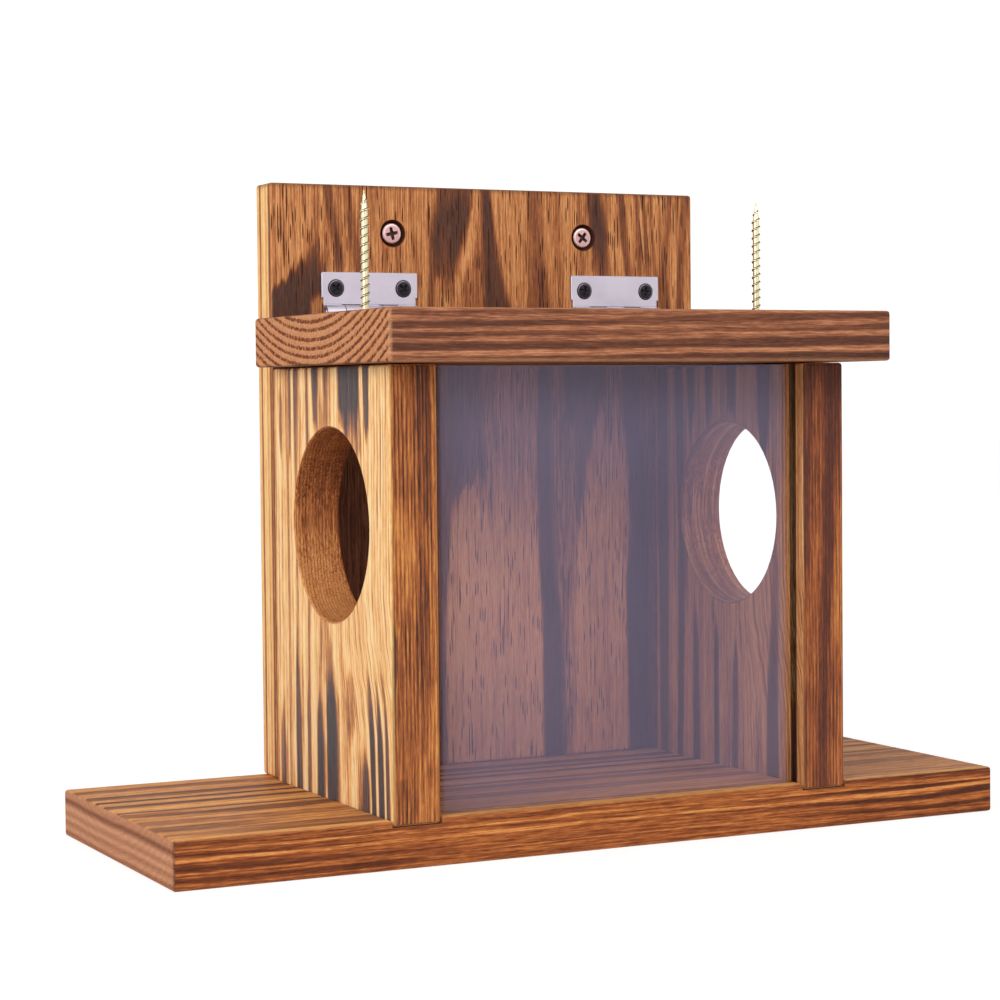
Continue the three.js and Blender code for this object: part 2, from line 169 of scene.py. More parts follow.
class Finish(Nodes):
    """The nodes of one finish, with its place in millimetres"""

    def __init__(self, name):
        self.material = bpy.data.materials.new(name)
        self.material.use_nodes = True
        super().__init__(self.material.node_tree)
        self.shader = self.tree.nodes["Principled BSDF"]
        coordinates = self.add("ShaderNodeTexCoord").outputs["Object"]
        self.place = self.vector("MULTIPLY", coordinates, (MM, MM, MM))
        self.axes = self.split(self.place)

    def noise(self, sizes, shift, detail=2, roughness=0.5, place=None):
        """Soft noise with lumps of the given sizes along X, Y and Z: its value and its colour"""
        scaled = self.vector("MULTIPLY", place or self.place, tuple(1 / size for size in sizes))
        moved = self.vector("ADD", scaled, (shift, shift * 1.7, shift * 2.3))
        return self.add("ShaderNodeTexNoise", moved, None, 1, detail, roughness).outputs[:2]

    def shade(self, name, value):
        """Gives the shader one of its inputs"""
        self.feed(self.shader.inputs[name], value)

    def ramp(self, value, stops, interpolation="EASE"):
        """A ramp through the stops, each a share and a colour or a plain number"""
        made = self.add("ShaderNodeValToRGB", value)
        made.color_ramp.interpolation = interpolation
        elements = made.color_ramp.elements
        while len(elements) < len(stops):
            elements.new(1)
        for element, (share, colour) in zip(elements, stops):
            element.position = share
            element.color = colour if isinstance(colour, tuple) else (colour, colour, colour, 1)
        return made.outputs["Color"]

    def mixed(self, share, first, second, blend="MIX"):
        made = self.add("ShaderNodeMix", data_type="RGBA", blend_type=blend)
        for socket, value in ((made.inputs[0], share), (made.inputs[6], first), (made.inputs[7], second)):
            self.feed(socket, value)
        return made.outputs[2]

    def bump(self, height, depth):
        """Relief of a depth in millimetres"""
        made = self.add("ShaderNodeBump")
        made.inputs["Strength"].default_value = 1
        made.inputs["Distance"].default_value = depth / MM
        self.feed(made.inputs["Height"], height)
        self.shade("Normal", made.outputs["Normal"])


class Pine(Finish):
    """Torched pine whose grain runs along one axis, round a pith at a place in the other two"""

    arris, arris_blur = 0.32, 0.22
    pore_share = 0.94
    crispness = 0.2
    relief = 0.25
    sheen = (0.5, 0.72)

    def __init__(self, name, grain, pith, ring, seed, drift=2, bend=None, fibre_length=10, late=0.3):
        super().__init__(name)
        self.grain = grain
        cross = tuple(0 if axis == grain else 1 for axis in (X, Y, Z))
        lumps = self.vector("SUBTRACT", self.noise(self.lump(90, 55), seed)[1], (0.5, 0.5, 0.5))
        flowing = self.vector("ADD", self.place, self.vector("MULTIPLY", lumps, [drift * c for c in cross]))
        self.across = self.split(flowing)
        if bend:
            flowing = self.vector("ADD", flowing, self.bent(*bend))
        from_pith = self.vector("SUBTRACT", flowing, pith)
        radius = self.vector("LENGTH", self.vector("MULTIPLY", from_pith, cross))
        line = self.add("ShaderNodeCombineXYZ", radius).outputs[0]
        uneven = self.noise((4.3 * ring, 1, 1), seed + 3, place=line)[0]
        turns = self.number("ADD", self.number("DIVIDE", radius, ring), self.times(uneven, 1.5))
        year = ((0, 0), (late, 0.08), (0.62, 0.85), (0.8, 1), (0.94, 0.25), (1, 0))
        self.rings = self.ramp(self.number("FRACT", turns), year)
        self.fibres = self.streaky(fibre_length, 0.46, seed + 5, flowing, 0.3, 0.7)
        self.strands = self.streaky(80, 0.65, seed + 17, flowing, 0.33, 0.67)
        self.grit = self.streaky(3.4, 0.5, seed + 19, flowing, 0.3, 0.7)
        self.flicker = self.noise(self.lump(26, 3.4), seed + 11, 3, 0.6, flowing)[0]
        self.ragged = self.noise(self.lump(34, 3.6), seed + 13)[0]
        self.dots = self.noise((1.2, 1.2, 1.2), seed + 15)[0]
        self.pores = 0
        self.colour = None

    def lump(self, along, across):
        """The three sizes of a lump that is long along the grain"""
        return [along if axis == self.grain else across for axis in (X, Y, Z)]

    def streaky(self, along, across, shift, place, low, high):
        """Fine noise drawn out along the grain, its contrast spread between two levels"""
        return self.rising(self.noise(self.lump(along, across), shift, 3, 0.65, place)[0], low, high)

    def read(self, place, stops):
        """A share read off stops, each a place and a value from 0 to 1"""
        low, high = stops[0][0], stops[-1][0]
        share = self.number("MULTIPLY_ADD", place, 1 / (high - low), low / (low - high))
        return self.ramp(share, [((at - low) / (high - low), value) for at, value in stops])

    def bent(self, axis, furthest, along, across):
        """How far the grain swings aside: the furthest times two shares, one along it and one across"""
        made = self.add("ShaderNodeCombineXYZ")
        shares = [self.read(self.axes[way], stops) for way, stops in ((self.grain, along), (axis, across))]
        self.feed(made.inputs[axis], self.times(self.times(*shares), furthest))
        return made.outputs[0]

    def facing(self, axis, plane, inward):
        """1 on the face at a plane, 0 past its eased edge; inward is the sign of the way into the board"""
        depth = self.times(self.number("SUBTRACT", self.axes[axis], plane), inward)
        return self.rising(depth, self.arris - self.arris_blur, self.arris + self.arris_blur, 1, 0)

    def darkness_between_levels(self, across, levels, along):
        """How dark each place across the grain is, blended between levels along it"""
        bands = [(level, self.read(self.across[across], stops)) for level, stops in sorted(levels.items())]
        level, result = bands[0]
        for next_level, band in bands[1:]:
            result = self.mixed(self.rising(along, level, next_level), result, band)
            level = next_level
        return result

    def streak(self, dark, across, along, path, soft):
        """Lays a streak over a darkness; its path gives, at places along the grain, the streak's middle,
        half its width and its own darkness, and a width of nothing ends it"""
        start, end = path[0][0], path[-1][0]
        low = min(middle for _, middle, _, _ in path)
        span = max(middle for _, middle, _, _ in path) - low + 1
        widest = max(half for _, _, half, _ in path)
        stops = [
            ((place - start) / (end - start), ((middle - low) / span, half / widest, darkness, 1))
            for place, middle, half, darkness in path
        ]
        share = self.number("MULTIPLY_ADD", along, 1 / (end - start), start / (start - end))
        laid = self.add(
            "ShaderNodeGroup", self.ramp(share, stops, "LINEAR"), dark, self.across[across], low, span,
            widest, min(soft, widest) / 2, node_tree=torch_streak,
        )
        return laid.outputs[0]

    def face(self, tones, across, dark, streaks=(), ring=0.25, fibre=0.2, strand=0.2, flicker=0.3, dots=0,
             soft=1, ragged=5, calm=0.7, where=None):
        """Lays one face's colour: its tones run from clean wood to char, where the grain is calm"""
        wander = self.rising(self.ragged, 0.25, 0.75, -ragged, ragged)
        along = self.number("ADD", self.axes[self.grain], wander)
        if isinstance(dark, dict):
            dark = self.darkness_between_levels(across, dark, along)
        for path in streaks:
            dark = self.streak(dark, across, along, path, soft)
        if dots:
            strong = self.rising(self.dots, 0.4, 0.6, 1 - dots, 1 + dots)
        else:
            strong = self.rising(self.flicker, 0.3, 0.7, 0.5, 1.5)
        signals = self.times(self.times(self.rings, strong), ring)
        for signal, strength in ((self.fibres, fibre), (self.strands, strand), (self.flicker, flicker)):
            signals = self.number("MULTIPLY_ADD", self.number("SUBTRACT", signal, 0.5), strength, signals)
        total = self.number("MULTIPLY_ADD", signals, self.number("MULTIPLY_ADD", dark, -calm, 1), dark)
        steps = len(tones) - 1
        colour = self.ramp(total, [(i / steps, tint(*tone)) for i, tone in enumerate(tones)], "LINEAR")
        self.colour = colour if where is None else self.mixed(where, self.colour, colour)

    def dashes(self, across, apart, length, share, shift, where):
        """Adds open pores: thin dashes along the grain, in a share of the cells that they lie apart in"""
        spot = self.add(
            "ShaderNodeCombineXYZ", self.number("MULTIPLY_ADD", self.axes[across], 1 / apart, shift),
            self.number("MULTIPLY_ADD", self.axes[self.grain], 1 / length, shift),
        )
        cells = self.add("ShaderNodeTexVoronoi", spot.outputs[0], None, 1, voronoi_dimensions="2D")
        pick = self.split(cells.outputs["Color"])[0]
        dash = self.rising(cells.outputs["Distance"], 0.17, 0.25, 1, 0)
        shown = self.times(self.times(dash, self.rising(pick, 0.99 - share, 1.01 - share)), where)
        self.pores = self.number("MAXIMUM", self.pores, shown)

    def edge(self, first, second, width=0.9):
        """1 along the arris where two faces meet; each is an axis and its plane"""
        away = [
            self.number("ABSOLUTE", self.number("SUBTRACT", self.axes[axis], plane))
            for axis, plane in (first, second)
        ]
        return self.rising(self.number("MAXIMUM", *away), width * 0.45, width * 1.3, 1, 0)

    def paint(self, where, colour, strength=1):
        """Lays a colour, given as it shows on a screen, over the wood"""
        self.colour = self.mixed(self.times(where, strength), self.colour, tint(*colour))

    def done(self, pore_tone=None):
        """Adds the pores, the fine contrast of the brushed fibres, the sheen of the oil and the relief"""
        if pore_tone:
            self.paint(self.pores, pore_tone, self.pore_share)
        self.shade("Base Color", self.mixed(self.crispness, self.colour, self.grit, "OVERLAY"))
        self.shade("Roughness", self.rising(self.fibres, 0, 1, *self.sheen))
        self.shade("Specular IOR Level", 0.16)
        raised = self.number("MULTIPLY_ADD", self.fibres, -0.4, self.times(self.rings, 0.5))
        self.bump(self.number("SUBTRACT", raised, self.pores), self.relief)
        return self.material


def dress(material, *nodes):
    """Gives boards their finish"""
    for node in nodes:
        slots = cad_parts[node].data.materials
        slots.clear()
        slots.append(material)


base_low, base_high = corners("base_board")
base = Pine("pine_base_torched", X, (0, 8, 78), 2.9, 2)
base.face(
    [(212, 156, 116), (190, 130, 92), (160, 98, 62), (112, 62, 36)],
    Z, {-150: [
        (0, 0.25), (1.5, 0.7), (3, 0.2), (5, 0.55), (6.5, 0.15), (8, 0.5), (10, 0.15), (12.4, 0.9),
        (14, 0.4), (16, 0.3),
    ]},
    ring=0.1, fibre=0.4, dots=0.5,
)
perch_streaks = [
    [(-162, -50, 2, 0.3), (-128, -49, 5, 0.56), (-100, -48.5, 6, 0.64), (-80, -48, 5, 0.5),
     (-66, -47, 0, 0.4)],
    [(-162, -56, 0.8, 0.1), (-60, -56, 1.2, 0.05)],
    [(-162, -37, 4, 0.6), (-140, -38, 5, 0.62), (-112, -36, 2, 0.4), (-100, -35, 0, 0.3)],
    [(-162, -8, 3, 0.6), (-125, -12, 4, 0.7), (-95, -11, 4.5, 0.72), (-84, -10, 3, 0.6)],
    [(-162, 10, 1.6, 0.7), (-84, 12, 1.8, 0.7)],
    [(-162, 24, 1.2, 0.05), (-84, 22, 1.2, 0.05)],
    [(-162, 31, 3, 0.65), (-84, 30, 2.6, 0.7)],
    [(-162, 45, 2.4, 0.75), (-120, 46, 3.4, 0.7), (-84, 46, 2, 0.55)],
    [(84, -49, 1.2, 0.5), (152, -50, 1.2, 0.5)],
    [(84, -26, 4, 0.5), (110, -25, 4.5, 0.62), (152, -24, 3, 0.5)],
    [(84, -2, 1.1, 0.85), (110, -1.6, 1.3, 0.92), (152, -2, 1.2, 0.88)],
    [(84, 4, 1.4, 0.1), (152, 5, 1.4, 0.15)],
    [(84, 12.5, 1.3, 0.92), (120, 12.2, 1.5, 0.95), (152, 12.6, 1.2, 0.9)],
    [(84, 21.6, 1.5, 0.92), (120, 21.4, 1.3, 0.9), (152, 21.2, 1.2, 0.8)],
    [(84, 33, 1.4, 0.8), (120, 33.4, 2, 0.75), (152, 34, 1.4, 0.6)],
    [(84, 44, 1.6, 0.5), (152, 44, 1.6, 0.6)],
]
base_top = base.facing(Z, base_high[Z], -1)
base.face(
    [(246, 188, 112), (218, 148, 82), (172, 108, 62), (122, 76, 46), (80, 54, 40)],
    Y, 0.26, perch_streaks, ring=0.1, fibre=0.3, strand=0.36, soft=2.2, ragged=8,
    where=base_top,
)
front_streaks = [
    [(-162, 7.1, 0.9, 0.95), (-130, 6.9, 0.9, 0.9), (-100, 6.6, 0.8, 0.8), (-78, 6.2, 0.8, 0.74),
     (-50, 5.8, 0, 0.5)],
    [(-162, 3.4, 0.7, 0.86), (-120, 3.2, 0.7, 0.84), (-92, 3, 0.9, 0.95), (-80, 3, 0.7, 0.85),
     (-58, 2.8, 0, 0.5)],
    [(-162, 5.3, 0.5, 0.05), (-110, 5, 0.6, 0.1), (-80, 4.6, 0.4, 0.1)],
    [(-162, 9.4, 0.7, 0.05), (-120, 9, 0.8, 0.1), (-60, 8.6, 0.6, 0.15)],
    [(-162, 11.4, 0.6, 0.85), (-130, 11, 0.6, 0.7), (-80, 10.6, 0.5, 0.6), (-10, 11.8, 0.4, 0.6),
     (30, 12.6, 0.5, 0.5), (64, 12, 0.6, 0.7), (90, 11.3, 0.7, 0.92), (112, 11.3, 0.8, 0.97),
     (132, 11.9, 0.8, 0.95), (152, 12.3, 0.7, 0.9)],
    [(-162, 14.9, 0.7, 0.95), (-135, 14.6, 0.6, 0.75), (-100, 14.2, 0.5, 0.6), (-88, 14, 0, 0.5)],
    [(-162, 13.2, 0.6, 0.1), (-110, 12.6, 0.6, 0.15), (-86, 12.4, 0.4, 0.2)],
    [(-60, 13.4, 0.4, 0.6), (-20, 14.4, 0.5, 0.7), (0, 15, 0.4, 0.7), (40, 15.4, 0.4, 0.6)],
    [(44, 8.6, 0.5, 0.6), (80, 8, 0.7, 0.85), (102, 7.5, 0.8, 0.97), (122, 7.6, 0.9, 1),
     (140, 8.6, 0.9, 1), (152, 9, 0.9, 0.97)],
    [(60, 5, 0.5, 0.6), (92, 4.4, 0.7, 0.8), (122, 3.9, 0.8, 0.88), (152, 4.4, 0.8, 0.9)],
    [(92, 9.6, 0.5, 0.15), (152, 10.6, 0.6, 0.1)],
    [(20, 1.2, 0, 0.5), (60, 1, 0.6, 0.6), (152, 0.8, 0.9, 0.78)],
    [(78, 15, 0.4, 0.6), (110, 14.8, 1, 0.74), (152, 14.8, 1.1, 0.8)],
]
base.face(
    [(228, 152, 84), (202, 122, 62), (166, 92, 46), (122, 62, 32), (82, 42, 24)],
    Z, 0.5, front_streaks, ring=0.1, fibre=0.62, strand=0.44, ragged=6,
    where=base.facing(Y, base_low[Y], 1),
)
right_perch = base.times(base_top, base.rising(base.axes[X], 80, 84))
base.paint(right_perch, (140, 88, 58), 0.42)
# A painted highlight along the base's front top arris, fading out towards the right end.
front_arris_highlight = base.edge((Y, base_low[Y]), (Z, base_high[Z]))
base.paint(base.times(front_arris_highlight, base.rising(base.axes[X], 50, 90, 0.3, 0)), (218, 150, 88))
base.paint(base.edge((X, base_low[X]), (Y, base_low[Y])), (80, 50, 38), 0.55)
base.dashes(Y, 0.9, 12, 0.06, 3.1, base_top)
dress(base.done((66, 42, 34)), "base_board")


# Side panels
# Two upright pine boards with a round door sawn through each. Their faces are burnt in long streaks that
# keep the grain's bright lines between them, and their front edges are brushed to a fine red-brown comb.
left_low, left_high = corners("side_panel_left")
right_low = corners("side_panel_right")[0]
door_radius = 32.6
door_place = (0, -8.07, 108.2)
gold = [(255, 224, 168), (248, 190, 124), (200, 134, 82), (136, 96, 80), (80, 72, 74)]
comb = [(216, 144, 76), (186, 112, 60), (148, 82, 46), (106, 60, 40), (66, 42, 36)]
outer_streaks = [
    [(126, -30, 0, 0.3), (134, -29, 6, 0.45), (142, -26, 9.5, 0.5), (150, -25, 9, 0.6)],
    [(130, -41.6, 0.8, 0), (140, -42, 1.2, 0), (162, -44.6, 1.5, 0)],
    [(130, -39.5, 0, 0.5), (142, -39.4, 1.9, 0.9), (162, -39, 2.6, 0.97)],
    [(126, -37, 0.8, 0), (138, -36.6, 1.3, 0), (162, -34.4, 1.4, 0)],
    [(134, -27, 0, 0.5), (141, -26, 6, 0.75), (147, -25, 8.4, 0.97), (162, -25, 8.8, 1)],
    [(132, -4.5, 0, 0.4), (145, -5, 1.8, 0.55), (162, -5.2, 2.4, 0.8)],
    [(134, 4.5, 0, 0.5), (142, 4.5, 1.9, 0.8), (162, 4.8, 3.1, 0.97)],
    [(132, 9.5, 1, 0), (162, 9.6, 1.6, 0)],
    [(128, 12, 1, 0.45), (162, 12, 1.2, 0.5)],
    [(116, 22, 1.2, 0.45), (140, 22, 2.1, 0.62), (162, 22, 2.4, 0.8)],
    [(116, 26, 0.9, 0), (162, 26, 1.2, 0)],
    [(122, 29.5, 0, 0.5), (134, 29.5, 1.9, 0.85), (162, 29.5, 2.4, 0.97)],
    [(126, 36.5, 0, 0.5), (140, 36.5, 1.7, 0.62), (152, 36.5, 1.3, 0.55), (160, 36.5, 0, 0.4)],
    [(98, 43, 1, 0.45), (162, 43, 1.3, 0.55)],
    [(10, -34, 5, 0.48), (28, -34.5, 4.6, 0.44), (44, -34, 0, 0.3)],
    [(10, -8, 6.4, 0.45), (50, -7.5, 6.4, 0.5), (64, -6.5, 3.4, 0.4), (72, -6, 0, 0.3)],
    [(10, -53.6, 1.5, 0.85), (40, -53.4, 1.4, 0.85), (50, -52.3, 1, 0.6), (62, -49.6, 0.8, 0.5),
     (76, -47, 0, 0.4)],
    [(10, -51.4, 1.1, 0), (40, -51, 1.1, 0), (50, -49.6, 1.1, 0), (60, -47.4, 1, 0), (72, -45, 0.9, 0.05),
     (84, -43.6, 0, 0.1)],
    [(10, -48.4, 2.3, 1), (30, -48.3, 2.4, 1), (44, -47.8, 2, 1), (52, -46.8, 1.4, 0.85),
     (60, -45.2, 0.8, 0.6), (68, -43.4, 0, 0.5)],
    [(10, -42.3, 2.3, 1), (30, -42, 2.4, 1), (42, -41.6, 2.2, 1), (50, -40.6, 1.7, 0.9),
     (58, -39, 1.2, 0.7), (70, -36, 0, 0.5)],
    [(10, -45.4, 0.9, 0), (30, -45, 0.9, 0), (40, -44.6, 1, 0), (50, -43.4, 1, 0), (58, -41.4, 1.1, 0),
     (66, -38.8, 1, 0), (76, -36.6, 0.9, 0), (86, -35.6, 0, 0.05)],
    [(10, -40, 0.9, 0), (22, -39.6, 1, 0), (32, -38.6, 1.2, 0), (45, -37.6, 1.3, 0), (56, -36, 1.2, 0.05),
     (70, -33, 0, 0.1)],
    [(10, -36, 3.2, 0.9), (22, -36, 3, 0.9), (30, -36, 2.4, 0.8), (40, -35.5, 0, 0.5)],
    [(30, -24, 0, 0.3), (42, -24, 3.2, 0.52), (50, -23.5, 3.4, 0.54), (58, -23.5, 2.6, 0.45),
     (66, -23, 0, 0.3)],
    [(10, -8, 3.7, 0.85), (20, -7.8, 4.7, 0.97), (35, -7.4, 5, 1), (48, -7.2, 4.3, 0.92),
     (56, -6.6, 2.8, 0.7), (64, -6, 0, 0.4)],
    [(10, -2.2, 1, 0), (62, -1.8, 1, 0), (76, -1.6, 0, 0.1)],
    [(10, 2.4, 3, 0.97), (35, 2.6, 2.9, 0.92), (45, 2.8, 2.2, 0.75), (56, 3, 0, 0.4)],
    [(10, 13, 1.6, 0.7), (40, 13, 1.5, 0.6), (66, 13.4, 0, 0.4)],
    [(10, 16.5, 1.1, 0), (90, 17, 0.9, 0.05)],
    [(10, 22, 2.6, 0.95), (38, 22.4, 2.7, 0.9), (58, 23, 1.6, 0.7), (76, 23.4, 0, 0.5)],
    [(10, 30, 1.4, 0.5), (100, 30, 1.2, 0.42)],
    [(10, 37, 2.4, 0.8), (30, 37, 2.3, 0.75), (52, 37, 0, 0.5)],
]
edge_streaks = [
    [(84, -81.5, 0, 0.2), (92, -81.6, 2.6, 0.15), (100, -80.6, 3.6, 0.05), (109, -80.2, 3.4, 0),
     (116, -80, 2, 0.15), (124, -80, 0, 0.3)],
    [(100, -72.5, 0, 0.5), (118, -72.6, 2.8, 0.55), (140, -73, 3.6, 0.6), (165, -73.4, 3.8, 0.66)],
    [(48, -85.4, 0, 0.6), (60, -85.2, 1.1, 0.85), (74, -85.4, 1, 0.75), (88, -85.4, 0, 0.5)],
    [(58, -74.6, 0, 0.45), (74, -74.6, 2.2, 0.56), (88, -74.8, 1.8, 0.55), (100, -75, 0, 0.4)],
    [(10, -71, 1.2, 0.15), (165, -70.4, 1, 0.2)],
    [(10, 77, 12, 0.38), (120, 77, 12, 0.44), (165, 77, 12, 0.54)],
    [(144, 77.5, 0, 0.5), (156, 77.5, 9, 0.66), (165, 77.5, 10, 0.8)],
    [(82, 69.5, 0, 0.6), (96, 69.5, 2.5, 0.85), (120, 69.6, 2.9, 0.85), (165, 69.8, 3.6, 0.75)],
    [(10, 76.7, 1.5, 0.85), (30, 76.9, 1.8, 0.96), (60, 77.8, 1.8, 0.92), (90, 79, 2, 0.86),
     (120, 80, 2.2, 0.9), (150, 81, 2.7, 0.9), (165, 81, 3, 0.9)],
    [(10, 83.5, 1.2, 0.2), (100, 84, 1.6, 0.2), (130, 84, 0, 0.3)],
]
inner_streaks = [
    [(10, -38, 4, 0.9), (40, -38, 3.4, 0.85), (90, -40, 2, 0.6), (162, -39, 1.6, 0.5)],
    [(14, -13, 2, 0.8), (50, -13.4, 1.8, 0.8), (70, -13, 0, 0.6)],
    [(14, 0, 1.6, 0.9), (56, 0, 1.4, 0.9), (74, 0.6, 0, 0.6)],
    [(14, 14, 2.2, 0.85), (60, 14.4, 1.8, 0.8), (78, 15, 0, 0.5)],
    [(14, 26, 1.8, 0.85), (100, 24, 2.4, 0.85), (162, 26, 3, 0.9)],
    [(14, 38, 3, 0.75), (162, 38, 4, 0.85)],
    [(124, -33, 0, 0.6), (140, -33, 3.6, 0.95), (162, -33, 4.6, 0.95)],
    [(134, -11.5, 0, 0.6), (146, -11.5, 2.6, 0.85), (162, -11.6, 3, 0.9)],
    [(134, 4, 0, 0.6), (146, 4, 2.2, 0.85), (162, 4, 2.6, 0.9)],
    [(132, 17, 0, 0.6), (146, 17, 2.2, 0.9), (162, 17, 2.8, 0.9)],
]
swing_along = ((14, 1), (40, 0.92), (52, 0.74), (62, 0.44), (74, 0.16), (88, 0))
swing_across = ((-57.8, 0), (-57.4, 1), (-38, 1), (-8, 0))
swing = (Y, 10, swing_along, swing_across)
sides = Pine("pine_sides_torched", Z, (0, -2, 0), 1.12, 21, drift=1.4, bend=swing, fibre_length=13)
sides.face(
    gold, Y, 0.12, outer_streaks, ring=0.26, fibre=0.36, strand=0.36, flicker=0.36, soft=2.4, ragged=2.5,
)
from_middle = sides.number("ABSOLUTE", sides.axes[X])
inner = sides.rising(from_middle, right_low[X] + 0.1, right_low[X] + 0.5, 1, 0)
# The inner faces of the panels take darker tones: painted shade for the dimmer light inside the box.
sides.face(
    [(226, 162, 106), (196, 134, 86), (144, 92, 58), (104, 64, 42), (78, 48, 34)],
    Y, 0.22, inner_streaks, ring=0.15, fibre=0.3, strand=0.3, soft=3, where=inner,
)
sides_front = sides.facing(Y, left_low[Y], 1)
sides.face(comb, X, 0.32, edge_streaks, ring=0.32, fibre=0.55, soft=3.6, calm=0.2, where=sides_front)
sides.face(comb, Y, 0.24, ring=0.5, dots=0.5, where=sides.facing(Z, left_high[Z], -1))
right_edge = sides.times(sides_front, sides.rising(sides.axes[X], 0, 1))
sides.paint(right_edge, (146, 74, 52), 0.22)
from_door = sides.vector("MULTIPLY", sides.vector("SUBTRACT", sides.place, door_place), (0, 1, 1))
door_wall = sides.rising(sides.vector("LENGTH", from_door), door_radius + 0.3, door_radius + 0.7, 1, 0)
# The door walls grow darker deeper into the boards and towards the tops of the holes.
sides.face(
    [(226, 154, 92), (196, 122, 68), (150, 84, 44), (100, 52, 28), (58, 32, 22)],
    X, {
        84: [(-85.9, 0), (-78, 0.05), (-71, 0.15), (-69, 0.3), (69, 0.5), (77, 0.4), (85.9, 0.3)],
        128: [(-85.9, 0.4), (-80, 0.5), (-74, 0.55), (-69, 0.65), (69, 0.6), (77, 0.5), (85.9, 0.5)],
    },
    ring=0.08, fibre=0.6, strand=0.1, flicker=0.7, dots=0.7, where=door_wall,
)
sawn = sides.noise((1.7, 60, 60), 29, 3, 0.6)[0]
scored = sides.times(door_wall, sides.rising(sides.axes[X], -1, 1, 0.12, 0.42))
sides.paint(sides.times(sides.rising(sawn, 0.47, 0.4), scored), (84, 46, 28))
sides.paint(sides.times(sides.rising(sawn, 0.54, 0.6), scored), (232, 172, 126))
# The grooves that hold the pane are painted near black: painted shade inside the grooves.
groove_middle, groove_half, groove_floor = -51.7, 2, 73.3
from_groove = sides.number("ABSOLUTE", sides.number("SUBTRACT", sides.axes[Y], groove_middle))
in_groove = sides.rising(from_groove, groove_half - 0.3, groove_half + 0.3, 1, 0)
in_board = sides.rising(from_middle, groove_floor - 0.3, groove_floor + 0.3, 1, 0)
sides.paint(sides.times(in_groove, in_board), (56, 26, 13), 0.92)
# Painted highlights down the left panel's two front arrises, the outer one bright gold.
sides.paint(sides.edge((X, left_low[X]), (Y, left_low[Y])), (250, 200, 124), 0.55)
sides.paint(sides.edge((X, left_high[X]), (Y, left_low[Y])), (206, 144, 84), 0.4)
dress(sides.done(), "side_panel_left", "side_panel_right")


# Back board
# A tall pine board behind the panels that takes the hinges and the two screws into the tree. Its face is
# scorched in broad flames, with the open pores of the brushed wood showing as short dark checks.
back_low, back_high = corners("back_board")
flames = [
    [(176, -80, 10, 0.9), (184, -79.5, 9.4, 1), (190, -75, 8.4, 0.97), (197, -71, 5.4, 0.92),
     (202, -68.8, 3.2, 0.92), (209, -68.3, 0, 0.6)],
    [(176, -68, 2.2, 0.2), (184, -68, 2, 0.2), (191, -67.4, 0, 0.2)],
    [(190, -58.8, 1.4, 0.5), (200, -60, 1.8, 0.6), (214, -62.4, 1.8, 0.62), (228, -64.2, 1.7, 0.6)],
    [(190, -52, 1.3, 0.45), (200, -53, 1.5, 0.5), (214, -55, 1.6, 0.55), (228, -57.2, 1.6, 0.52)],
    [(180, -24.8, 1.4, 0.55), (205, -23, 1.1, 0.5), (228, -20.2, 1.1, 0.45)],
    [(184, -18.5, 0, 0.4), (193, -18.5, 3, 0.7), (200, -18, 4.6, 0.8), (208, -17, 6.2, 0.88),
     (215, -15.6, 6.8, 0.95), (221, -14.2, 7.2, 0.88), (228, -13.6, 6.6, 0.64)],
    [(178, -9, 4, 0.42), (192, -8.5, 3.6, 0.42), (200, -7, 2.2, 0.4), (208, -6, 0, 0.3)],
    [(184, -14.8, 1.2, 0.2), (193, -13, 1.6, 0.14), (202, -10, 1.5, 0.1), (210, -7.2, 1.7, 0.08),
     (218, -5.8, 1.8, 0.08), (228, -4.8, 1.6, 0.1)],
    [(178, 3, 5.6, 0.88), (184, 3, 5.3, 0.9), (190, 1.8, 4.5, 0.86), (200, 0, 3.4, 0.88),
     (210, -0.7, 2.2, 0.92), (218, -1, 1.7, 0.95), (228, -1.5, 1.4, 0.88)],
    [(198, 0, 0, 0.9), (206, -0.5, 2.3, 0.92), (218, -1, 2.1, 0.97), (228, -1.5, 1.6, 0.85)],
    [(178, 20.5, 4.8, 0.68), (190, 20, 4.4, 0.64), (205, 18.6, 3, 0.6), (215, 18, 2.8, 0.6),
     (228, 17.6, 2.6, 0.55)],
    [(180, 47.6, 2.8, 0.5), (197, 46.8, 3.2, 0.62), (205, 46, 3.4, 0.78), (213, 45, 3.6, 0.95),
     (221, 44, 3.4, 0.95), (228, 43.2, 2.8, 0.8)],
    [(197, 64.6, 0, 0.9), (203, 64.2, 0.4, 0.95), (213, 63.2, 0.4, 0.95), (218, 62.8, 0, 0.9)],
    [(198, 67.2, 0, 0.9), (204, 66.9, 0.35, 0.95), (212, 66.3, 0.35, 0.95), (216, 66, 0, 0.9)],
    [(180, 60, 1, 0.5), (197, 58, 1.4, 0.6), (210, 56.6, 1.5, 0.64), (228, 54.8, 1.4, 0.64)],
    [(180, 64, 0.8, 0.52), (228, 61.6, 0.8, 0.52)],
    [(180, 67.4, 0.9, 0.56), (228, 64.6, 0.9, 0.52)],
    [(180, 70.2, 0.7, 0.5), (228, 68, 0.7, 0.5)],
    [(180, 74.5, 1.5, 0.62), (205, 74, 1.3, 0.56), (228, 76.4, 1.3, 0.52)],
    [(180, 80, 1.5, 0.48), (228, 83, 1.7, 0.52)],
]
